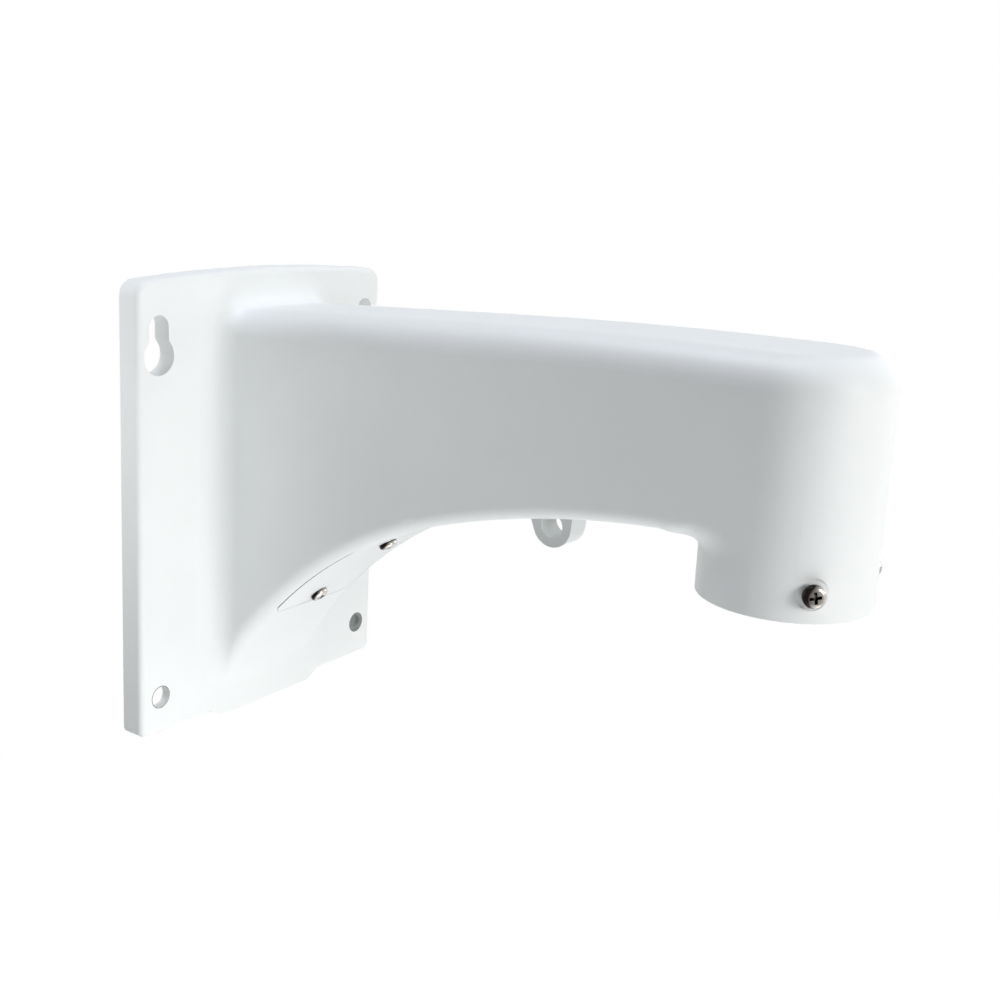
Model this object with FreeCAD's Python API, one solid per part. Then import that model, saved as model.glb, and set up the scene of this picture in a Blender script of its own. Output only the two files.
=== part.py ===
import FreeCAD, Part
import math
import os

from FreeCAD import Rotation, Vector

# Frame, in millimetres: the wall is the plane x = 0 and +X points away from it.
# Y runs along the wall and Z is up. The origin is the middle of the four fixing holes.

# Wall plate
hole_pitch_across = 126.0
hole_pitch_up = 157.0
plate_side_margin = 10.6
plate_top_margin = 18.3
plate_bottom_margin = 16.1
plate_top_crown = 3.2
plate_bottom_crown = 1.0
plate_top_corner_radius = 6.5
plate_bottom_corner_radius = 3.5
plate_edge_radius = 2.4
plate_depth = 11.0
plate_front_wall = 4.0
plate_rim_wall = 4.5
tab_width = 55.5
tab_drop = 3.6
tab_end_run = 6.5
tab_corner_radius = 3.0

# Fixing holes
lower_hole_diameter = 9.0
keyhole_slot_width = 10.0
keyhole_head_diameter = 15.5
keyhole_drop = 11.7
keyhole_neck_radius = 2.5
keyhole_boss_wall = 3.5
keyhole_boss_height = 8.3

# Ribs in the hollow of the plate
rib_thickness = 3.0
rib_height = 30.0
rib_set_back = 2.0

# Arm and tube
reach = 256.0
tube_diameter = 61.0
tube_bore = 53.0
tube_bore_depth = 24.0
mouth_height = 8.7
mouth_chamfer = 1.0
arm_end_height = 85.7
arm_top_rise = 10.9
arm_top_slope = 3.25
arm_wall = 4.5
arm_top_radius = 11.0
arm_bottom_radius = 6.0
duct_top_chamfer = 3.8
duct_bottom_chamfer = 1.5

# Underside of the arm, from the tube back to the wall
tube_skirt = 21.6
underside_slope = 3.3
underside_outer_radius = 367.0
underside_outer_run = 94.5
arm_root_bottom = -82.0
skirt_corner_radius = 5.5
skirt_blend_angle = 50.0
skirt_blend_radius = 12.0
skirt_flat = 0.5

# Rounding between the arm and the plate
root_side_radius = 11.0
root_top_radius = 11.0
root_bottom_radius = 11.0

# Screws that hold the camera neck in the tube
tube_screw_height = 10.0
tube_screw_angles = (-52.0, 46.0)
tube_screw_stand_off = 1.5
tube_screw_length = 5.0
spot_face_diameter = 11.0

# Safety rope lug
lug_reach = 164.0
lug_hole_height = 15.7
lug_hole_diameter = 9.5
lug_rim = 3.6
lug_thickness = 11.0
lug_root_back = 11.5
lug_root_front = 9.5
lug_root_sink = 2.0

# Access opening and its cover
cover_middle = 60.3
cover_length = 62.0
cover_width = 49.0
cover_thickness = 2.0
cover_corner_radius = 7.0
cover_gap = 0.4
cover_seat_gap = 0.05
cover_ledge = 5.0
cover_screw_inset = 6.4
cover_screw_length = 9.0
cover_hole_diameter = 4.5
boss_diameter = 10.0
boss_height = 9.0

# Pan head screw
screw_diameter = 4.0
screw_head_diameter = 8.0
screw_head_height = 2.9
cross_width = 1.1
cross_span = 4.4
cross_depth = 1.6
thread_gap = 0.05
head_gap = 0.08

# Values that follow from the sizes above
tube_radius = tube_diameter / 2
half_up = hole_pitch_up / 2
half_across = hole_pitch_across / 2
half_width = half_across + plate_side_margin
plate_top = half_up + plate_top_margin
plate_bottom = -half_up - plate_bottom_margin
skirt_top = mouth_height + tube_skirt
screw_hole_diameter = screw_diameter + 2 * thread_gap
overshoot = 2.0
tolerance = 0.01
out = Vector(1, 0, 0)
up = Vector(0, 0, 1)


def flat(x, z):
    """Point in the arm's middle plane."""
    return Vector(x, 0, z)


def line(start, end):
    return Part.LineSegment(start, end).toShape()


def arc(start, middle, end):
    return Part.Arc(start, middle, end).toShape()


def closed_face(edges):
    return Part.Face(Part.Wire(Part.__sortEdges__(edges)))


def sample(edge, count=9):
    step = (edge.LastParameter - edge.FirstParameter) / (count - 1)
    return [edge.valueAt(edge.FirstParameter + step * k) for k in range(count)]


def rounded(solid, rows):
    """Solid with edges rounded; each row holds an edge number and its radius at both ends."""
    document = FreeCAD.newDocument("rounding")
    base = document.addObject("Part::Feature", "base")
    base.Shape = solid
    rounding = document.addObject("Part::Fillet", "rounding")
    rounding.Base = base
    rounding.Edges = rows
    document.recompute()
    result = rounding.Shape.copy()
    FreeCAD.closeDocument(document.Name)
    return result


# Lower line of the arm: angles are its fall towards the wall


def towards_wall(angle):
    return Vector(-math.cos(angle), 0, -math.sin(angle))


def into_arm(angle):
    return Vector(-math.sin(angle), 0, math.cos(angle))


def tangent_centre(start, angle, end):
    """Centre of the arc that leaves start at an angle and ends at end."""
    chord = end - start
    side = -into_arm(angle)
    return start + side * (chord.dot(chord) / (2 * chord.dot(side)))


def arc_about(centre, start, end):
    middle = (start - centre) + (end - centre)
    middle.normalize()
    return arc(start, centre + middle * (start - centre).Length, end)


slope = math.radians(underside_slope)
skirt_turn = math.pi / 2 + slope
skirt_trim = skirt_corner_radius * math.tan(skirt_turn / 2)
skirt_point = flat(reach - tube_radius, skirt_top)
on_tube = skirt_point - up * skirt_trim
on_arm = skirt_point + towards_wall(slope) * skirt_trim
skirt_centre = on_tube - out * skirt_corner_radius
outer_centre = on_arm - into_arm(slope) * underside_outer_radius
join_angle = math.asin(math.sin(slope) + underside_outer_run / underside_outer_radius)
join_point = outer_centre + into_arm(join_angle) * underside_outer_radius
root_point = flat(plate_depth, arm_root_bottom)
wall_centre = tangent_centre(join_point, join_angle, root_point)
wall_radius = (root_point - wall_centre).Length
root_angle = math.asin((wall_centre.x - root_point.x) / wall_radius)
top_end = mouth_height + arm_end_height
top_start = top_end - arm_top_rise
top_rise_angle = math.radians(arm_top_slope)
top_join_x = (arm_top_rise - reach * math.tan(top_rise_angle / 2)) / (
    math.tan(top_rise_angle) - math.tan(top_rise_angle / 2))
top_line_radius = (reach - top_join_x) / math.sin(top_rise_angle)
top_centre = flat(reach, top_end - top_line_radius)


def on_wall_arc(angle, inset=0.0):
    return wall_centre + into_arm(angle) * (wall_radius + inset)


def on_skirt_corner(share):
    """Point on the skirt's inside corner, from the arm at 0 to the tube at 1."""
    return skirt_centre + into_arm(slope - share * skirt_turn) * skirt_corner_radius


def top_height(x):
    """Height of the top line, which rises from the wall and levels out over the tube."""
    if x > top_join_x:
        return top_centre.z + math.sqrt(top_line_radius ** 2 - (x - reach) ** 2)
    return top_start + x * math.tan(top_rise_angle)


def top_lines(start_x, end_x, inset):
    """The top line's straight, arc and level stretches, and both of its ends."""
    rise = towards_wall(top_rise_angle)
    join = on_top_arc(top_rise_angle, inset)
    start = join + rise * ((join.x - start_x) / -rise.x)
    level = on_top_arc(0.0, inset)
    end = flat(end_x, level.z)
    shapes = [line(start, join), arc(join, on_top_arc(top_rise_angle / 2, inset), level), line(level, end)]
    return shapes, start, end


def on_top_arc(angle, inset):
    return top_centre + into_arm(angle) * (top_line_radius - inset)


def outer_outline():
    """Side view of the arm with its tube."""
    top, back_top, front_top = top_lines(0.0, reach + tube_radius, 0.0)
    front_low = flat(reach + tube_radius, mouth_height)
    back_low = flat(reach - tube_radius, mouth_height)
    root_back = flat(0.0, arm_root_bottom)
    share = skirt_blend_angle / math.degrees(skirt_turn)
    split = on_skirt_corner(share)
    return top + [
        line(front_top, front_low),
        line(front_low, back_low),
        line(back_low, on_tube),
        arc(on_tube, on_skirt_corner((1 + share) / 2), split),
        arc(split, on_skirt_corner(share / 2), on_arm),
        arc_about(outer_centre, on_arm, join_point),
        arc_about(wall_centre, join_point, root_point),
        line(root_point, root_back),
        line(root_back, back_top),
    ]


def inner_outline():
    """Side view of the hollow in the arm, which runs out through the back of the plate."""
    top, back_top, front_top = top_lines(-overshoot, reach + tube_radius - arm_wall, arm_wall)
    start = on_arm + into_arm(slope) * arm_wall
    join = join_point + into_arm(join_angle) * arm_wall
    root = on_wall_arc(root_angle, arm_wall)
    far_run = (front_top.x - start.x) / math.cos(slope)
    far = start - towards_wall(slope) * far_run
    root_back = flat(-overshoot, arm_root_bottom + arm_wall)
    return top + [
        line(front_top, far),
        line(far, start),
        arc_about(outer_centre, start, join),
        arc_about(wall_centre, join, root),
        line(root, root_back),
        line(root_back, back_top),
    ]


def arm_block(outline, start_x, radius):
    """Side outline carried across the arm and cut to its plan, which ends in a half round."""
    side = closed_face(outline)
    side.translate(Vector(0, -radius, 0))
    block = side.extrude(Vector(0, 2 * radius, 0))
    height = hole_pitch_up * 2
    plan = Part.makeBox(reach - start_x, 2 * radius, height, Vector(start_x, -radius, -height / 2))
    plan = plan.fuse(Part.makeCylinder(radius, height, flat(reach, -height / 2)))
    return block.common(plan.removeSplitter())


def long_edges(block, radius):
    """Numbered edges along the arm's sides and round end, without the upright ones at its front."""
    found = []
    for number, edge in enumerate(block.Edges, 1):
        points = sample(edge)
        on_plan = all(abs(math.hypot(max(p.x - reach, 0), p.y) - radius) < tolerance for p in points)
        upright = (points[0] - points[-1]).cross(up).Length < tolerance
        tube_back = abs(points[0].x - reach + radius) < tolerance
        if on_plan and (tube_back or not upright):
            found.append((number, points))
    return found


def lower_radius(point):
    """Radius of the lower edge at a corner of the outline: it grows from the wall to the tube."""
    if abs(point.x - on_tube.x) < tolerance:
        return tube_radius - skirt_flat
    split = on_skirt_corner(skirt_blend_angle / math.degrees(skirt_turn))
    if abs(point.z - split.z) < tolerance and abs(point.x - split.x) < tolerance:
        return skirt_blend_radius
    return arm_bottom_radius


def arm_outside():
    block = arm_block(outer_outline(), 0.0, tube_radius)
    middle = (top_height(reach) + skirt_top) / 2
    rows = []
    for number, points in long_edges(block, tube_radius):
        first, centre, last = points[0], points[4], points[-1]
        if centre.z > middle:
            rows.append((number, arm_top_radius, arm_top_radius))
        elif centre.z > mouth_height + tolerance or centre.x < reach - tube_radius:
            rows.append((number, lower_radius(first), lower_radius(last)))
    return rounded(block, rows)


def arm_inside():
    """Cable duct in the arm, its throat in the tube, and the wider bore that takes the camera's neck."""
    radius = tube_radius - arm_wall
    hollow = arm_block(inner_outline(), -overshoot, radius)
    middle = (top_height(reach) + skirt_top) / 2
    for above, size in ((True, duct_top_chamfer), (False, duct_bottom_chamfer)):
        rows = long_edges(hollow, radius)
        edges = [hollow.Edges[number - 1] for number, points in rows if (points[4].z > middle) == above]
        hollow = hollow.makeChamfer(size, edges)
    throat_height = skirt_top + arm_wall + arm_bottom_radius - mouth_height
    throat = Part.makeCylinder(radius, throat_height, flat(reach, mouth_height))
    bore_start = flat(reach, mouth_height - overshoot)
    bore = Part.makeCylinder(tube_bore / 2, tube_bore_depth + overshoot, bore_start)
    lead = Part.makeCone(tube_bore / 2 + mouth_chamfer, tube_bore / 2, mouth_chamfer, flat(reach, mouth_height))
    return hollow.fuse([throat, bore, lead])


# Plate


def plate_outline(inset):
    across = half_width - inset
    high = plate_top - inset
    low = plate_bottom + inset
    corners = [Vector(0, -across, low), Vector(0, across, low), Vector(0, across, high), Vector(0, -across, high)]
    return closed_face([
        arc(corners[0], Vector(0, 0, low - plate_bottom_crown), corners[1]),
        line(corners[1], corners[2]),
        arc(corners[2], Vector(0, 0, high + plate_top_crown), corners[3]),
        line(corners[3], corners[0]),
    ])


def corner_edges(solid, lower):
    """Edges of a plate that run away from the wall, in its lower or its upper half."""
    edges = []
    for edge in solid.Edges:
        points = sample(edge)
        if (points[0] - points[-1]).cross(out).Length < tolerance and (points[0].z < 0) == lower:
            edges.append(edge)
    return edges


def round_corners(solid, top_radius, bottom_radius):
    solid = solid.makeFillet(top_radius, corner_edges(solid, False))
    return solid.makeFillet(bottom_radius, corner_edges(solid, True))


def front_edges(solid):
    return [e for e in solid.Edges if all(abs(p.x - plate_depth) < tolerance for p in sample(e))]


def plate_body():
    body = plate_outline(0.0).extrude(out * plate_depth)
    body = round_corners(body, plate_top_corner_radius, plate_bottom_corner_radius)
    body = body.makeFillet(plate_edge_radius, front_edges(body))
    low = plate_bottom - tab_drop
    high = plate_bottom + plate_edge_radius + plate_bottom_crown
    inner = tab_width / 2
    outer = inner + tab_end_run
    points = [
        Vector(0, -outer, high), Vector(0, -outer, plate_bottom), Vector(0, -inner, low),
        Vector(0, inner, low), Vector(0, outer, plate_bottom), Vector(0, outer, high),
    ]
    tab = Part.Face(Part.makePolygon(points + points[:1])).extrude(out * plate_depth)
    low_corners = [edge for edge in corner_edges(tab, True) if abs(sample(edge)[0].z - low) < tolerance]
    return body.fuse(tab.makeFillet(tab_corner_radius, low_corners)).removeSplitter()


def keyhole(side, grow, start_x):
    """Keyhole outline, grown on every side, carried out through the plate's face."""
    centre = Vector(start_x, side * half_across, half_up)
    drop = centre - up * keyhole_drop
    slot_radius = keyhole_slot_width / 2 + grow
    length = plate_depth - start_x + overshoot
    slot = Part.makeCylinder(slot_radius, length, centre, out)
    head = Part.makeCylinder(keyhole_head_diameter / 2 + grow, length, drop, out)
    neck = Part.makeBox(length, 2 * slot_radius, keyhole_drop, drop - Vector(0, slot_radius, 0))
    shape = slot.fuse([head, neck]).removeSplitter()
    corners = []
    for edge in shape.Edges:
        points = sample(edge)
        along = (points[0] - points[-1]).cross(out).Length < tolerance
        on_slot = abs(abs(points[0].y - centre.y) - slot_radius) < tolerance
        if along and on_slot and points[0].z < half_up - tolerance:
            corners.append(edge)
    return shape.makeFillet(keyhole_neck_radius, corners)


def ribs():
    depth = plate_depth - plate_front_wall - rib_set_back + overshoot
    span = half_width - tube_radius
    shapes = []
    for side in (-1, 1):
        start = tube_radius - overshoot if side > 0 else -half_width
        for height in (-rib_height, rib_height):
            corner = Vector(rib_set_back, start, height - rib_thickness / 2)
            shapes.append(Part.makeBox(depth, span + overshoot, rib_thickness, corner))
    return shapes


def plate_hollow(arm):
    """Pocket behind the plate, around the arm's walls, the keyhole bosses and the ribs."""
    depth = plate_depth - plate_front_wall
    pocket = plate_outline(plate_rim_wall)
    pocket.translate(out * -overshoot)
    pocket = pocket.extrude(out * (depth + overshoot))
    pocket = round_corners(pocket, plate_top_corner_radius / 2, plate_bottom_corner_radius / 2)
    bosses = [keyhole(side, keyhole_boss_wall, plate_depth - keyhole_boss_height) for side in (-1, 1)]
    return pocket.cut([arm] + bosses + ribs())


def root_rows(body, arm):
    """Edges where the arm leaves the plate, with a radius that changes from side to top."""
    high = top_height(plate_depth)
    rows = []
    for number, edge in enumerate(body.Edges, 1):
        points = sample(edge)
        at_face = all(abs(p.x - plate_depth) < tolerance for p in points)
        near = all(abs(p.y) < tube_radius + tolerance and arm_root_bottom - tolerance < p.z < high + tolerance
                   for p in points)
        if at_face and near:
            rows.append((number, root_radius(points[0], high), root_radius(points[-1], high)))
    return rows


def root_radius(point, high):
    if abs(abs(point.y) - tube_radius) < tolerance:
        return root_side_radius
    return root_top_radius if point.z > 0 else root_bottom_radius


# Lug


def tangent_point(point, centre, radius, turn):
    """Where a line from a point touches a circle in the middle plane."""
    reach_out = point - centre
    angle = math.atan2(reach_out.z, reach_out.x) + turn * math.acos(radius / reach_out.Length)
    return centre + flat(math.cos(angle), math.sin(angle)) * radius


def underside_height(x):
    return outer_centre.z + math.sqrt(underside_outer_radius ** 2 - (x - outer_centre.x) ** 2)


def rope_lug():
    centre = flat(lug_reach, lug_hole_height)
    radius = lug_hole_diameter / 2 + lug_rim
    back_x = lug_reach - lug_root_back
    front_x = lug_reach + lug_root_front
    back = flat(back_x, underside_height(back_x) + lug_root_sink)
    front = flat(front_x, underside_height(front_x) + lug_root_sink)
    low_back = tangent_point(back, centre, radius, 1)
    low_front = tangent_point(front, centre, radius, -1)
    face = closed_face([
        line(back, low_back),
        arc(low_back, centre - up * radius, low_front),
        line(low_front, front),
        line(front, back),
    ])
    face.translate(Vector(0, -lug_thickness / 2, 0))
    return face.extrude(Vector(0, lug_thickness, 0))


def rope_hole():
    start = Vector(lug_reach, -lug_thickness, lug_hole_height)
    return Part.makeCylinder(lug_hole_diameter / 2, 2 * lug_thickness, start, Vector(0, 1, 0))


# Access opening and cover, in angles along the wall arc


def cover_angle(shift):
    """Angle of a point that lies a distance up the arc from the cover's middle."""
    middle = math.asin((wall_centre.x - cover_middle) / wall_radius)
    return middle - shift / wall_radius


def band(low, high, length, width, corner):
    """Curved slab that follows the underside, between two depths measured into the arm."""
    angles = [cover_angle(-length / 2), cover_angle(0.0), cover_angle(length / 2)]
    inner = [on_wall_arc(a, low) for a in angles]
    outer = [on_wall_arc(a, high) for a in angles]
    face = closed_face([arc(*inner), line(inner[2], outer[2]), arc(*outer), line(outer[0], inner[0])])
    face.translate(Vector(0, -width / 2, 0))
    slab = face.extrude(Vector(0, width, 0))
    ends = []
    for edge in slab.Edges:
        points = sample(edge)
        if abs(edge.Length - (high - low)) < tolerance and abs(points[0].y - points[-1].y) < tolerance:
            ends.append(edge)
    return slab.makeFillet(corner, ends)


def cover_screw_places():
    """Point on the cover's outer face and the direction out of it, for each screw."""
    places = []
    for side in (-1, 1):
        angle = cover_angle(side * (cover_length / 2 - cover_screw_inset))
        places.append((on_wall_arc(angle), -into_arm(angle)))
    return places


def access_cover():
    cover = band(0.0, cover_thickness, cover_length, cover_width, cover_corner_radius)
    for point, outward in cover_screw_places():
        start = point + outward * overshoot
        depth = cover_thickness + 2 * overshoot
        cover = cover.cut(Part.makeCylinder(cover_hole_diameter / 2, depth, start, -outward))
    return cover


def cover_recess():
    depth = cover_thickness + cover_seat_gap
    length = cover_length + 2 * cover_gap
    width = cover_width + 2 * cover_gap
    return band(-overshoot, depth, length, width, cover_corner_radius + cover_gap)


def cover_opening():
    length = cover_length - 2 * (cover_screw_inset + boss_diameter / 2)
    width = cover_width - 2 * cover_ledge
    return band(-overshoot, arm_wall + overshoot, length, width, cover_corner_radius)


def cover_bosses():
    shapes = []
    for point, outward in cover_screw_places():
        start = point - outward * (arm_wall - overshoot)
        shapes.append(Part.makeCylinder(boss_diameter / 2, boss_height - arm_wall + overshoot, start, -outward))
    return shapes


def cover_screw_holes():
    shapes = []
    for point, outward in cover_screw_places():
        start = point + outward * overshoot
        depth = cover_screw_length + 2 * overshoot
        shapes.append(Part.makeCylinder(screw_hole_diameter / 2, depth, start, -outward))
    return shapes


# Tube screws


def tube_screw_direction(angle):
    turn = math.radians(angle)
    return Vector(math.cos(turn), math.sin(turn), 0)


def tube_screw_centre():
    return flat(reach, mouth_height + tube_screw_height)


def spot_face_radius():
    """Distance of the flat spot faces from the tube's axis."""
    return math.sqrt(tube_radius ** 2 - (spot_face_diameter / 2) ** 2)


def tube_screw_cuts():
    shapes = []
    for angle in tube_screw_angles:
        outward = tube_screw_direction(angle)
        start = tube_screw_centre() + outward * spot_face_radius()
        shapes.append(Part.makeCylinder(spot_face_diameter / 2, 2 * overshoot, start, outward))
        shapes.append(Part.makeCylinder(screw_hole_diameter / 2, tube_radius / 2, start, -outward))
    return shapes


def screw(length, seat, outward):
    """Pan head screw with a cross recess, its head resting on seat."""
    radius = screw_head_diameter / 2
    profile = [
        flat(0, -length), flat(screw_diameter / 2, -length), flat(screw_diameter / 2, 0), flat(radius, 0),
        flat(radius, screw_head_height), flat(0, screw_head_height),
    ]
    body = Part.Face(Part.makePolygon(profile + profile[:1])).revolve(Vector(0, 0, 0), up, 360)
    floor = screw_head_height - cross_depth
    for size in ((cross_span, cross_width), (cross_width, cross_span)):
        corner = Vector(-size[0] / 2, -size[1] / 2, floor)
        body = body.cut(Part.makeBox(size[0], size[1], screw_head_height, corner))
    body.Placement = FreeCAD.Placement(seat, Rotation(up, outward))
    return body


def tube_screws():
    shapes = []
    for angle in tube_screw_angles:
        outward = tube_screw_direction(angle)
        seat = tube_screw_centre() + outward * (spot_face_radius() + tube_screw_stand_off)
        shapes.append(screw(tube_screw_length, seat, outward))
    return shapes


def cover_screws():
    return [screw(cover_screw_length, point + outward * head_gap, outward) for point, outward in cover_screw_places()]


def bracket_casting():
    """Plate, arm, tube and lug as one casting, hollow from the wall to the tube's mouth."""
    arm = arm_outside()
    body = plate_body().fuse(arm).removeSplitter()
    body = rounded(body, root_rows(body, arm))
    body = body.cut(plate_hollow(arm))
    body = body.fuse(rope_lug()).cut(rope_hole())
    body = body.cut(arm_inside())
    body = body.fuse(cover_bosses())
    cuts = [keyhole(side, 0.0, -overshoot) for side in (-1, 1)]
    for side in (-1, 1):
        start = Vector(-overshoot, side * half_across, -half_up)
        cuts.append(Part.makeCylinder(lower_hole_diameter / 2, plate_depth + 2 * overshoot, start, out))
    cuts += [cover_recess(), cover_opening()] + cover_screw_holes() + tube_screw_cuts()
    return body.cut(cuts).removeSplitter()


def write(name, shape):
    solids = shape.Solids
    solid = solids[0] if len(solids) == 1 else shape
    solid.exportStep("parts/" + name + ".step")
    print(name, len(solids), "solid", round(shape.Volume), "mm3", shape.isValid())


os.makedirs("parts", exist_ok=True)
write("bracket_casting", bracket_casting())
write("access_cover", access_cover())
for number, shape in enumerate(cover_screws(), 1):
    write("cover_screw_" + str(number), shape)
for number, shape in enumerate(tube_screws(), 1):
    write("tube_screw_" + str(number), shape)
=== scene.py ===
import math

import bmesh
import bpy
from mathutils import Matrix, Vector


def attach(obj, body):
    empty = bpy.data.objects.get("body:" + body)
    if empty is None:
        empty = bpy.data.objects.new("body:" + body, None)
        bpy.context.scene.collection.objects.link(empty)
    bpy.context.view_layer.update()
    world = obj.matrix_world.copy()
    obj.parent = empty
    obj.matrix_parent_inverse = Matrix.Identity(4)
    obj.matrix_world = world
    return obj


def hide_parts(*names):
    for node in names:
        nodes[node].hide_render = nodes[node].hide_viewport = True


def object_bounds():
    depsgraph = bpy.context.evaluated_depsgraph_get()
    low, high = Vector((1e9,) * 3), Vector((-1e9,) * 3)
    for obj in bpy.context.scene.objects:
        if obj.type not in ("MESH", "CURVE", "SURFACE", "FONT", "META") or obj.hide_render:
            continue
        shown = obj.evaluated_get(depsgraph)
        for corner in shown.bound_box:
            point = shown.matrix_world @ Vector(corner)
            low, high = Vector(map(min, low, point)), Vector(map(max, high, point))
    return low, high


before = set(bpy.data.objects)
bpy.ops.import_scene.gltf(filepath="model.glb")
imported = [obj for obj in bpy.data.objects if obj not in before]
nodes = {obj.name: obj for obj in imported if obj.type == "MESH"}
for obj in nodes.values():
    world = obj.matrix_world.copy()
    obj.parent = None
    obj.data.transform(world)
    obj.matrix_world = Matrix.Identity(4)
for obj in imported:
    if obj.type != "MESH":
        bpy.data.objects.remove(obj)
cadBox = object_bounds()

# Lengths are in metres. The wall is the plane x = 0, Y runs along it and Z is up.
mm = 0.001
print("frame loaded, overall", [round((b - a) / mm, 1) for a, b in zip(*cadBox)], "mm")


# Linear colour of a hex code such as F4F4F2
def srgb(code):
    channels = [int(code[k:k + 2], 16) / 255 for k in (0, 2, 4)]
    linear = [c / 12.92 if c <= 0.04045 else ((c + 0.055) / 1.055) ** 2.4 for c in channels]
    return (*linear, 1.0)


# One node with its settings. Each input gets a value, or a node and the name of its output.
def addNode(tree, kind, settings, inputs):
    node = tree.nodes.new(kind)
    for name, value in settings.items():
        setattr(node, name, value)
    for name, value in inputs.items():
        if isinstance(value, tuple) and isinstance(value[0], bpy.types.Node):
            tree.links.new(value[0].outputs[value[1]], node.inputs[name])
        else:
            node.inputs[name].default_value = value
    return node


def newMaterial(name):
    material = bpy.data.materials.new(name)
    material.use_nodes = True
    material.node_tree.nodes.clear()
    return material, material.node_tree


# Noise scale that gives features of a real size
def scaleFor(size):
    return 1.0 / size


def paint(piece, material):
    piece.data.materials.clear()
    piece.data.materials.append(material)


# Sockets of a Mix node that mixes colours: the first and second colour, and what comes out
colorA, colorB, colorOut = 6, 7, 2

# White powder coat, sprayed on cast aluminium and baked: satin, with soft highlights, a faint
# orange peel and the slight waves of the casting under it.
powderCoat = {
    "color": "F2F5F4",
    "colorInThinSpots": "EEF1F0",
    "ior": 1.5,
    "roughness": (0.46, 0.56),
    "grainSize": 0.35 * mm,  # the real grain is finer than the picture can show
    "peelSize": 1.6 * mm,
    "peelDepth": 0.012 * mm,
    "waveSize": 22 * mm,
    "waveDepth": 0.03 * mm,
}

# Painted shade: dark grey painted where shade falls, on the lower holes' walls and a thin ring
# round each, on the spot of the plate's inner rim that the far hole looks onto, and on the rope
# lug's near face
paintedShade = {
    "color": "46534F",
    "lowerHoles": [  # the far hole's wall is the darker one
        {"across": -63.0 * mm, "up": -78.5 * mm, "wall": 0.08},
        {"across": 63.0 * mm, "up": -78.5 * mm, "wall": 0.62},
    ],
    "holeRadius": 4.5 * mm,
    "facetRoom": 0.03 * mm,
    "holeRim": 0.42 * mm,
    "rimStrength": 0.85,
    "pocketCentre": (3.0 * mm, 69.1 * mm, -80.0 * mm),
    "pocketReach": 6.5 * mm,
    "pocketRoom": 0.5 * mm,
    "pocketStrength": 0.62,
    "lugFace": (164.0 * mm, -5.5 * mm, 15.7 * mm),
    "lugReach": 16.0 * mm,
    "lugRoom": 0.03 * mm,
    "lugStrength": 0.28,
}

# The cover's near long edge, where its joint with the casting shows as a dark line
coverJoint = {
    "color": "4C5452",
    "halfWidth": 24.5 * mm,
    "line": 0.9 * mm,
    "strength": 0.95,
}


# Painted shade on the wall of a lower hole and a thin ring around it
def holeShadeMask(tree, place, hole):
    spec = paintedShade
    fromHole = addNode(tree, "ShaderNodeVectorMath", {"operation": "SUBTRACT"},
                       {0: (place, "Object"), 1: (0.0, hole["across"], hole["up"])})
    fromAxis = addNode(tree, "ShaderNodeVectorMath", {"operation": "MULTIPLY"},
                       {0: (fromHole, "Vector"), 1: (0.0, 1.0, 1.0)})
    away = addNode(tree, "ShaderNodeVectorMath", {"operation": "LENGTH"},
                   {0: (fromAxis, "Vector")})
    wall = addNode(tree, "ShaderNodeMath", {"operation": "LESS_THAN"},
                   {0: (away, "Value"), 1: spec["holeRadius"] + spec["facetRoom"]})
    ring = addNode(tree, "ShaderNodeMath", {"operation": "LESS_THAN"},
                   {0: (away, "Value"), 1: spec["holeRadius"] + spec["holeRim"]})
    rim = addNode(tree, "ShaderNodeMath", {"operation": "MULTIPLY"},
                  {0: (ring, "Value"), 1: spec["rimStrength"]})
    return addNode(tree, "ShaderNodeMath", {"operation": "MULTIPLY_ADD"},
                   {0: (wall, "Value"), 1: hole["wall"] - spec["rimStrength"], 2: (rim, "Value")})


# A round patch of painted shade around a point, on the surfaces where onWall is 1
def shadePatchMask(tree, place, centre, reach, onWall, strength):
    away = addNode(tree, "ShaderNodeVectorMath", {"operation": "DISTANCE"},
                   {0: (place, "Object"), 1: centre})
    close = addNode(tree, "ShaderNodeMath", {"operation": "LESS_THAN"},
                    {0: (away, "Value"), 1: reach})
    both = addNode(tree, "ShaderNodeMath", {"operation": "MULTIPLY"},
                   {0: (close, "Value"), 1: (onWall, "Value")})
    return addNode(tree, "ShaderNodeMath", {"operation": "MULTIPLY"},
                   {0: (both, "Value"), 1: strength})


# Painted shade on the lower holes, on the spot of the plate's inner rim that the far one looks
# onto, and on the rope lug's flat near face
def castingShadeMasks(tree, place):
    spec = paintedShade
    parts = addNode(tree, "ShaderNodeSeparateXYZ", {}, {"Vector": (place, "Object")})
    inRim = addNode(tree, "ShaderNodeMath", {"operation": "LESS_THAN"},
                    {0: (parts, "Y"), 1: spec["pocketCentre"][1] + spec["pocketRoom"]})
    onLug = addNode(tree, "ShaderNodeMath", {"operation": "COMPARE"},
                    {0: (parts, "Y"), 1: spec["lugFace"][1], 2: spec["lugRoom"]})
    pocket = shadePatchMask(tree, place, spec["pocketCentre"], spec["pocketReach"], inRim,
                       spec["pocketStrength"])
    lug = shadePatchMask(tree, place, spec["lugFace"], spec["lugReach"], onLug, spec["lugStrength"])
    return [holeShadeMask(tree, place, hole) for hole in spec["lowerHoles"]] + [pocket, lug]


def coverMasks(tree, place):
    spec = coverJoint
    parts = addNode(tree, "ShaderNodeSeparateXYZ", {}, {"Vector": (place, "Object")})
    edge = addNode(tree, "ShaderNodeMath", {"operation": "LESS_THAN"},
                   {0: (parts, "Y"), 1: spec["line"] - spec["halfWidth"]})
    return [addNode(tree, "ShaderNodeMath", {"operation": "MULTIPLY"},
                    {0: (edge, "Value"), 1: spec["strength"]})]
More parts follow.
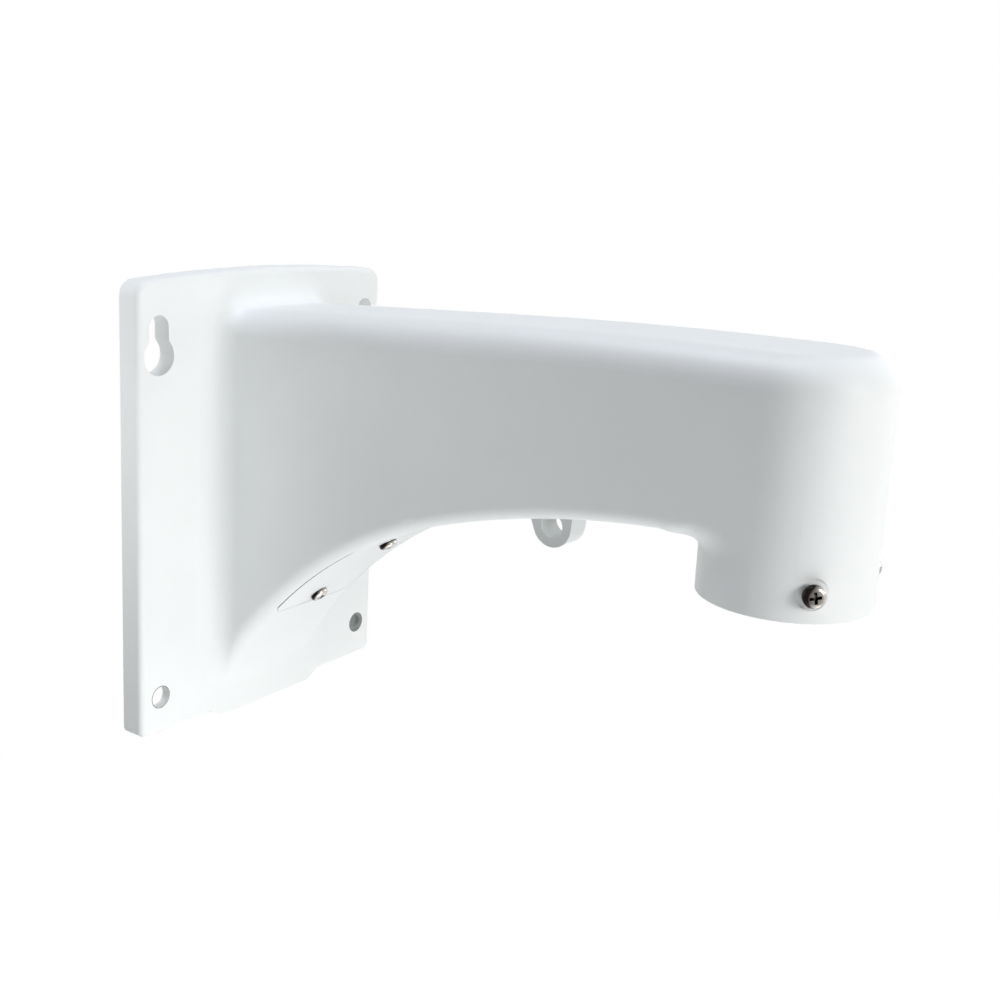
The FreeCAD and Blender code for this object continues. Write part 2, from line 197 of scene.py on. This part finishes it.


# findMasks gives the nodes that are above 0 where darkColor is painted: shade on the casting, the
# joint line on the cover
def powderCoatMaterial(name, findMasks, darkColor):
    material, tree = newMaterial(name)
    spec = powderCoat
    place = addNode(tree, "ShaderNodeTexCoord", {}, {})
    peel = addNode(tree, "ShaderNodeTexNoise", {},
                   {"Vector": (place, "Object"), "Scale": scaleFor(spec["peelSize"]),
                    "Detail": 2.0})
    grain = addNode(tree, "ShaderNodeTexNoise", {},
                    {"Vector": (place, "Object"), "Scale": scaleFor(spec["grainSize"]),
                     "Detail": 1.0})
    wave = addNode(tree, "ShaderNodeTexNoise", {},
                   {"Vector": (place, "Object"), "Scale": scaleFor(spec["waveSize"]),
                    "Detail": 2.0})
    color = addNode(tree, "ShaderNodeMix", {"data_type": "RGBA"},
                    {"Factor": (wave, "Fac"), colorA: srgb(spec["color"]),
                     colorB: srgb(spec["colorInThinSpots"])})
    for mask in findMasks(tree, place):
        color = addNode(tree, "ShaderNodeMix", {"data_type": "RGBA"},
                        {"Factor": (mask, "Value"), colorA: (color, colorOut),
                         colorB: srgb(darkColor)})
    smooth, rough = spec["roughness"]
    gloss = addNode(tree, "ShaderNodeMapRange", {},
                    {"Value": (grain, "Fac"), "To Min": smooth, "To Max": rough})
    waves = addNode(tree, "ShaderNodeBump", {},
                    {"Height": (wave, "Fac"), "Strength": 1.0, "Distance": spec["waveDepth"]})
    bumps = addNode(tree, "ShaderNodeBump", {},
                    {"Height": (peel, "Fac"), "Normal": (waves, "Normal"), "Strength": 1.0,
                     "Distance": spec["peelDepth"]})
    shader = addNode(tree, "ShaderNodeBsdfPrincipled", {},
                     {"Base Color": (color, colorOut), "Roughness": (gloss, "Result"),
                      "Normal": (bumps, "Normal"), "Metallic": 0.0, "IOR": spec["ior"]})
    addNode(tree, "ShaderNodeOutputMaterial", {}, {"Surface": (shader, "BSDF")})
    return material


# Stainless steel, cold headed and tumbled: bright domes that mirror the lamps and the white
# around them, a painted dark reflection where they turn towards the wall, and painted shade in
# the recess.
stainless = {
    "color": "DAD6D0",
    "colorInGrain": "BEB9B2",
    "paintedRecessShade": "1C1713",
    "recessReach": 1.4 * mm,
    "recessRange": (0.2, 0.95),
    "openSamples": 8,
    "paintedReflectionColor": "1F1A18",
    "paintedReflectionSide": (-0.82, -0.56, 0.1),
    "paintedReflectionRange": (-0.5, 0.16),
    "roughness": (0.15, 0.25),
    "grainSize": 0.5 * mm,  # the real grain is finer than the picture can show
    "grainDepth": 0.004 * mm,
}


def stainlessMaterial():
    material, tree = newMaterial("stainless steel")
    spec = stainless
    place = addNode(tree, "ShaderNodeTexCoord", {}, {})
    grain = addNode(tree, "ShaderNodeTexNoise", {},
                    {"Vector": (place, "Object"), "Scale": scaleFor(spec["grainSize"]),
                     "Detail": 3.0})
    tint = addNode(tree, "ShaderNodeMix", {"data_type": "RGBA"},
                   {"Factor": (grain, "Fac"), colorA: srgb(spec["color"]),
                    colorB: srgb(spec["colorInGrain"])})
    # Painted dark reflection: colour turns dark on the side whose normal faces
    # paintedReflectionSide
    facing = addNode(tree, "ShaderNodeVectorMath", {"operation": "DOT_PRODUCT"},
                     {0: (place, "Normal"), 1: spec["paintedReflectionSide"]})
    low, high = spec["paintedReflectionRange"]
    paintedReflection = addNode(tree, "ShaderNodeMapRange", {},
                  {"Value": (facing, "Value"), "From Min": low, "From Max": high})
    withPaintedReflection = addNode(tree, "ShaderNodeMix", {"data_type": "RGBA"},
                    {"Factor": (paintedReflection, "Result"), colorA: (tint, colorOut),
                     colorB: srgb(spec["paintedReflectionColor"])})
    # Painted shade: the recess and other hollows darkened by ambient occlusion
    openness = addNode(tree, "ShaderNodeAmbientOcclusion", {"samples": spec["openSamples"]},
                       {"Distance": spec["recessReach"]})
    low, high = spec["recessRange"]
    shallow = addNode(tree, "ShaderNodeMapRange", {},
                      {"Value": (openness, "AO"), "From Min": low, "From Max": high})
    shade = addNode(tree, "ShaderNodeMix", {"data_type": "RGBA"},
                    {"Factor": (shallow, "Result"), colorA: srgb(spec["paintedRecessShade"]),
                     colorB: (withPaintedReflection, colorOut)})
    smooth, rough = spec["roughness"]
    gloss = addNode(tree, "ShaderNodeMapRange", {},
                    {"Value": (grain, "Fac"), "To Min": smooth, "To Max": rough})
    bumps = addNode(tree, "ShaderNodeBump", {},
                    {"Height": (grain, "Fac"), "Strength": 1.0, "Distance": spec["grainDepth"]})
    shader = addNode(tree, "ShaderNodeBsdfPrincipled", {},
                     {"Base Color": (shade, colorOut), "Roughness": (gloss, "Result"),
                      "Normal": (bumps, "Normal"), "Metallic": 1.0})
    addNode(tree, "ShaderNodeOutputMaterial", {}, {"Surface": (shader, "BSDF")})
    return material


# The casting's coat takes the painted shade, the cover's coat its dark joint line
paint(nodes["bracket_casting"],
      powderCoatMaterial("white powder coat", castingShadeMasks, paintedShade["color"]))
paint(nodes["access_cover"],
      powderCoatMaterial("white powder coat, cover", coverMasks, coverJoint["color"]))
steel = stainlessMaterial()
print("materials done")

# What all four M4 pan head screws share
panHead = {
    "radius": 3.98 * mm,
    "edge": 0.3 * mm,
    "domePower": 0.5,
    "domeSteps": 12,
    "around": 64,
    "mergeGap": 0.01 * mm,
    "coreRadius": 1.62 * mm,
    "tipTaper": 0.5 * mm,
    "threadRadius": 1.98 * mm,
    "threadSink": 0.05 * mm,
    "threadSteps": 24,
    "pitch": 0.7 * mm,
    "recessSpan": 5.8 * mm,
    "recessWidth": 1.5 * mm,
    "recessDepth": 1.8 * mm,
    "recessTaper": 0.45,
    "sharpAngle": 32,
}

# Each screw's seat, the direction out of it, its turn in degrees and how far it goes in. The
# head's side rises straight and its dome ends at the top. Lengths are in millimetres.
screws = {
    "cover_screw_1": {"seat": (42.236, 0.0, -40.351), "out": (0.71867, 0.0, -0.69535),
                      "turn": 20, "length": 9.0, "side": 0.9, "top": 2.45},
    "cover_screw_2": {"seat": (80.317, 0.0, -9.414), "out": (0.53343, 0.0, -0.84585),
                      "turn": 60, "length": 9.0, "side": 0.9, "top": 2.45},
    "tube_screw_1": {"seat": (275.393, -24.822, 18.7), "out": (0.61566, -0.78801, 0.0),
                     "turn": 10, "length": 5.0, "side": 1.3, "top": 2.85},
    "tube_screw_2": {"seat": (277.882, 22.659, 18.7), "out": (0.69466, 0.71934, 0.0),
                     "turn": 35, "length": 5.0, "side": 1.3, "top": 2.85},
}


def asObject(shape, name):
    bmesh.ops.recalc_face_normals(shape, faces=shape.faces)
    mesh = bpy.data.meshes.new(name)
    shape.to_mesh(mesh)
    shape.free()
    piece = bpy.data.objects.new(name, mesh)
    bpy.context.scene.collection.objects.link(piece)
    return piece


# Head and core along Z, spun from half their section; the head rests on z = 0
def turnedBody(shape, length, side, top):
    spec = panHead
    radius, core, edge = spec["radius"], spec["coreRadius"], spec["edge"]
    section = [(0, -length), (core - edge, -length), (core, spec["tipTaper"] - length), (core, 0),
               (radius - edge, 0), (radius, edge)]
    for step in range(spec["domeSteps"] + 1):
        turn = math.pi / 2 * step / spec["domeSteps"]
        across = radius * max(math.cos(turn), 0.0) ** spec["domePower"]
        section.append((across, side + (top - side) * math.sin(turn)))
    points = [shape.verts.new((across, 0, up)) for across, up in section]
    edges = [shape.edges.new(pair) for pair in zip(points, points[1:])]
    bmesh.ops.spin(shape, geom=points + edges, cent=(0, 0, 0), axis=(0, 0, 1),
                   angle=2 * math.pi, steps=spec["around"], use_merge=True)
    bmesh.ops.remove_doubles(shape, verts=shape.verts, dist=spec["mergeGap"])


# One ridge that winds along the core, from the tip's taper to just under the head
def thread(shape, length):
    spec = panHead
    pitch, foot = spec["pitch"], spec["coreRadius"] - spec["threadSink"]
    low = spec["tipTaper"] - length
    turns = (length - spec["tipTaper"] - pitch) / pitch
    steps = round(turns * spec["threadSteps"])
    section = ((foot, low), (spec["threadRadius"], low + pitch / 2), (foot, low + pitch))
    ridge = shape.faces.new([shape.verts.new((across, 0, up)) for across, up in section])
    bmesh.ops.spin(shape, geom=[ridge], cent=(0, 0, 0), axis=(0, 0, 1),
                   angle=2 * math.pi * turns, dvec=(0, 0, pitch * turns / steps), steps=steps,
                   use_duplicate=False)


# Cross of two wedges that narrow towards the bottom of the recess
def recessCutter(top):
    spec = panHead
    span, width, taper = spec["recessSpan"], spec["recessWidth"], spec["recessTaper"]
    shape = bmesh.new()
    for along, across in ((span, width), (width, span)):
        block = bmesh.ops.create_cube(shape, size=1.0)["verts"]
        bmesh.ops.scale(shape, verts=block, vec=(along, across, 2 * spec["recessDepth"]))
        bmesh.ops.translate(shape, verts=block, vec=(0, 0, top))
        low = [point for point in block if point.co.z < top]
        bmesh.ops.scale(shape, verts=low, vec=(taper, taper, 1))
    return asObject(shape, "recess cutter")


# Takes the cutter out of the piece, which keeps a plain mesh
def cut(piece, cutter):
    change = piece.modifiers.new("cut", "BOOLEAN")
    change.object = cutter
    change.solver = "EXACT"
    change.use_self = True
    dressed = piece.evaluated_get(bpy.context.evaluated_depsgraph_get())
    mesh = bpy.data.meshes.new_from_object(dressed)
    piece.modifiers.clear()
    piece.data = mesh
    bpy.data.objects.remove(cutter)


def screw(node, spec):
    length, side, top = (spec[key] * mm for key in ("length", "side", "top"))
    shape = bmesh.new()
    turnedBody(shape, length, side, top)
    head = asObject(shape, node + "_pan_head")
    cut(head, recessCutter(top))
    shape = bmesh.new()
    shape.from_mesh(head.data)
    thread(shape, length)
    bmesh.ops.recalc_face_normals(shape, faces=shape.faces)
    out = Vector(spec["out"]).to_track_quat("Z", "Y").to_matrix()
    turn = out @ Matrix.Rotation(math.radians(spec["turn"]), 3, "Z")
    bmesh.ops.rotate(shape, verts=shape.verts, cent=(0, 0, 0), matrix=turn)
    bmesh.ops.translate(shape, verts=shape.verts, vec=Vector(spec["seat"]) * mm)
    shape.to_mesh(head.data)
    shape.free()
    head.data.shade_smooth()
    head.data.set_sharp_from_angle(angle=math.radians(panHead["sharpAngle"]))
    paint(head, steel)
    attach(head, "root")
    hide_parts(node)


for name, spec in screws.items():
    screw(name, spec)
print("screws done")

# Place, turn in degrees and lens that give the photograph's view
camera = {
    "place": (0.41613, -0.41842, 0.14920),
    "azimuth": 34.309,
    "elevation": 12.371,
    "roll": 2.888,
    "focalPixels": 1319.479,
    "centreAcross": 490.842,
    "centreDown": 452.119,
    "framePixels": 1000.0,
    "sensorWidth": 36.0,  # millimetres
    "nearest": 0.01,
}


def addCamera():
    a, e, r = (math.radians(camera[key]) for key in ("azimuth", "elevation", "roll"))
    back = Vector((math.sin(a) * math.cos(e), -math.cos(a) * math.cos(e), math.sin(e)))
    level = Vector((math.cos(a), math.sin(a), 0))
    upright = back.cross(level)
    right = level * math.cos(r) + upright * math.sin(r)
    above = upright * math.cos(r) - level * math.sin(r)
    turn = Matrix((right, above, back)).transposed().to_4x4()
    data = bpy.data.cameras.new("camera")
    data.sensor_width = camera["sensorWidth"]
    data.lens = camera["focalPixels"] / camera["framePixels"] * camera["sensorWidth"]
    data.shift_x = 0.5 - camera["centreAcross"] / camera["framePixels"]
    data.shift_y = camera["centreDown"] / camera["framePixels"] - 0.5
    data.clip_start = camera["nearest"]
    eye = bpy.data.objects.new("camera", data)
    eye.matrix_world = Matrix.Translation(camera["place"]) @ turn
    bpy.context.scene.collection.objects.link(eye)
    bpy.context.scene.camera = eye


addCamera()
print("camera done")

# A pale floor well below the bracket, which hangs as if on its wall. Near the bracket the floor
# takes the lamps' light and its shadow; further out it turns plain white.
studio = {
    "floorDrop": 0.5,
    "floorSize": 60.0,
    "floorColor": "E9E9E9",
    "floorGlow": 0.7,
    "shadowReach": (0.5, 1.2),
    "white": "FFFFFF",
    "roomLight": 0.08,
}

# Soft round lamps: the direction to each, its watts, its width and how far it stands away
lamps = {
    "front": {"aim": (1.0, -0.1, 0.27), "power": 14.1, "size": 0.7, "away": 1.6,
              "color": "FFFEFD"},
    "far front": {"aim": (0.6, 1.0, 0.2), "power": 3.0, "size": 0.8, "away": 1.6,
                  "color": "FFFFFF"},
    "overhead": {"aim": (-0.22, -0.07, 1.0), "power": 11.9, "size": 0.6, "away": 1.5,
                 "color": "F1F5FF"},
    "wide": {"aim": (0.7, -0.7, 1.0), "power": 3.6, "size": 2.4, "away": 1.5,
             "color": "F1F5FF"},
    "behind": {"aim": (0.2, 1.0, 0.3), "power": 2.2, "size": 1.0, "away": 1.6,
               "color": "FFFFFF"},
    "below": {"aim": (0.6, -0.3, -1.0), "power": 0.9, "size": 0.5, "away": 0.42,
              "color": "FFFFFF"},
    "plate edge": {"aim": (-0.443, -0.15, 0.099), "power": 0.5, "size": 0.15, "away": 0.478,
                   "color": "FFFFFF"},
    "plate side": {"aim": (-0.173, -0.2, 0.045), "power": 0.072, "size": 0.12, "away": 0.266,
                   "color": "FFFFFF"},
}


# Node that is 1 for what the camera sees, also in gloss and through glass
def seenDirectly(tree):
    rays = addNode(tree, "ShaderNodeLightPath", {}, {})
    glossy = addNode(tree, "ShaderNodeMath", {"operation": "MAXIMUM"},
                     {0: (rays, "Is Camera Ray"), 1: (rays, "Is Glossy Ray")})
    return addNode(tree, "ShaderNodeMath", {"operation": "MAXIMUM"},
                   {0: (glossy, "Value"), 1: (rays, "Is Transmission Ray")})


def floorMaterial():
    material, tree = newMaterial("pale floor")
    near, far = studio["shadowReach"]
    place = addNode(tree, "ShaderNodeTexCoord", {}, {})
    away = addNode(tree, "ShaderNodeVectorMath", {"operation": "LENGTH"},
                   {0: (place, "Object")})
    fade = addNode(tree, "ShaderNodeMapRange", {},
                   {"Value": (away, "Value"), "From Min": near, "From Max": far})
    matt = addNode(tree, "ShaderNodeBsdfDiffuse", {}, {"Color": srgb(studio["floorColor"])})
    glow = addNode(tree, "ShaderNodeEmission", {}, {"Strength": studio["floorGlow"]})
    white = addNode(tree, "ShaderNodeEmission", {}, {"Strength": 1.0})
    lit = addNode(tree, "ShaderNodeAddShader", {}, {0: (matt, "BSDF"), 1: (glow, "Emission")})
    seen = addNode(tree, "ShaderNodeMixShader", {},
                   {0: (fade, "Result"), 1: (lit, "Shader"), 2: (white, "Emission")})
    mix = addNode(tree, "ShaderNodeMixShader", {},
                  {0: (seenDirectly(tree), "Value"), 1: (matt, "BSDF"), 2: (seen, "Shader")})
    addNode(tree, "ShaderNodeOutputMaterial", {}, {"Surface": (mix, "Shader")})
    return material


def addFloor():
    shape = bmesh.new()
    bmesh.ops.create_grid(shape, x_segments=1, y_segments=1, size=studio["floorSize"] / 2)
    bmesh.ops.translate(shape, verts=shape.verts, vec=(0, 0, cadBox[0].z - studio["floorDrop"]))
    mesh = bpy.data.meshes.new("floor")
    shape.to_mesh(mesh)
    shape.free()
    floor = bpy.data.objects.new("floor", mesh)
    bpy.context.scene.collection.objects.link(floor)
    paint(floor, floorMaterial())


# The camera, gloss and glass see plain white; everything else gets the room's soft light
def addWorld():
    world = bpy.data.worlds.new("studio")
    bpy.context.scene.world = world
    world.use_nodes = True
    tree = world.node_tree
    tree.nodes.clear()
    room = addNode(tree, "ShaderNodeBackground", {},
                   {"Color": srgb(studio["white"]), "Strength": studio["roomLight"]})
    white = addNode(tree, "ShaderNodeBackground", {},
                    {"Color": srgb(studio["white"]), "Strength": 1.0})
    mix = addNode(tree, "ShaderNodeMixShader", {},
                  {0: (seenDirectly(tree), "Value"), 1: (room, "Background"),
                   2: (white, "Background")})
    addNode(tree, "ShaderNodeOutputWorld", {}, {"Surface": (mix, "Shader")})


def addLamp(name, spec, target):
    data = bpy.data.lights.new(name, "AREA")
    data.shape = "DISK"
    data.size = spec["size"]
    data.energy = spec["power"]
    data.color = srgb(spec["color"])[:3]
    lamp = bpy.data.objects.new(name, data)
    toLamp = Vector(spec["aim"]).normalized()
    lamp.location = target + toLamp * spec["away"]
    lamp.rotation_mode = "QUATERNION"
    lamp.rotation_quaternion = toLamp.to_track_quat("Z", "Y")
    lamp.visible_camera = False
    bpy.context.scene.collection.objects.link(lamp)


addFloor()
addWorld()
middle = (cadBox[0] + cadBox[1]) / 2
for name, spec in lamps.items():
    addLamp(name, spec, middle)
bpy.context.scene.view_settings.view_transform = "Standard"
print("studio done")
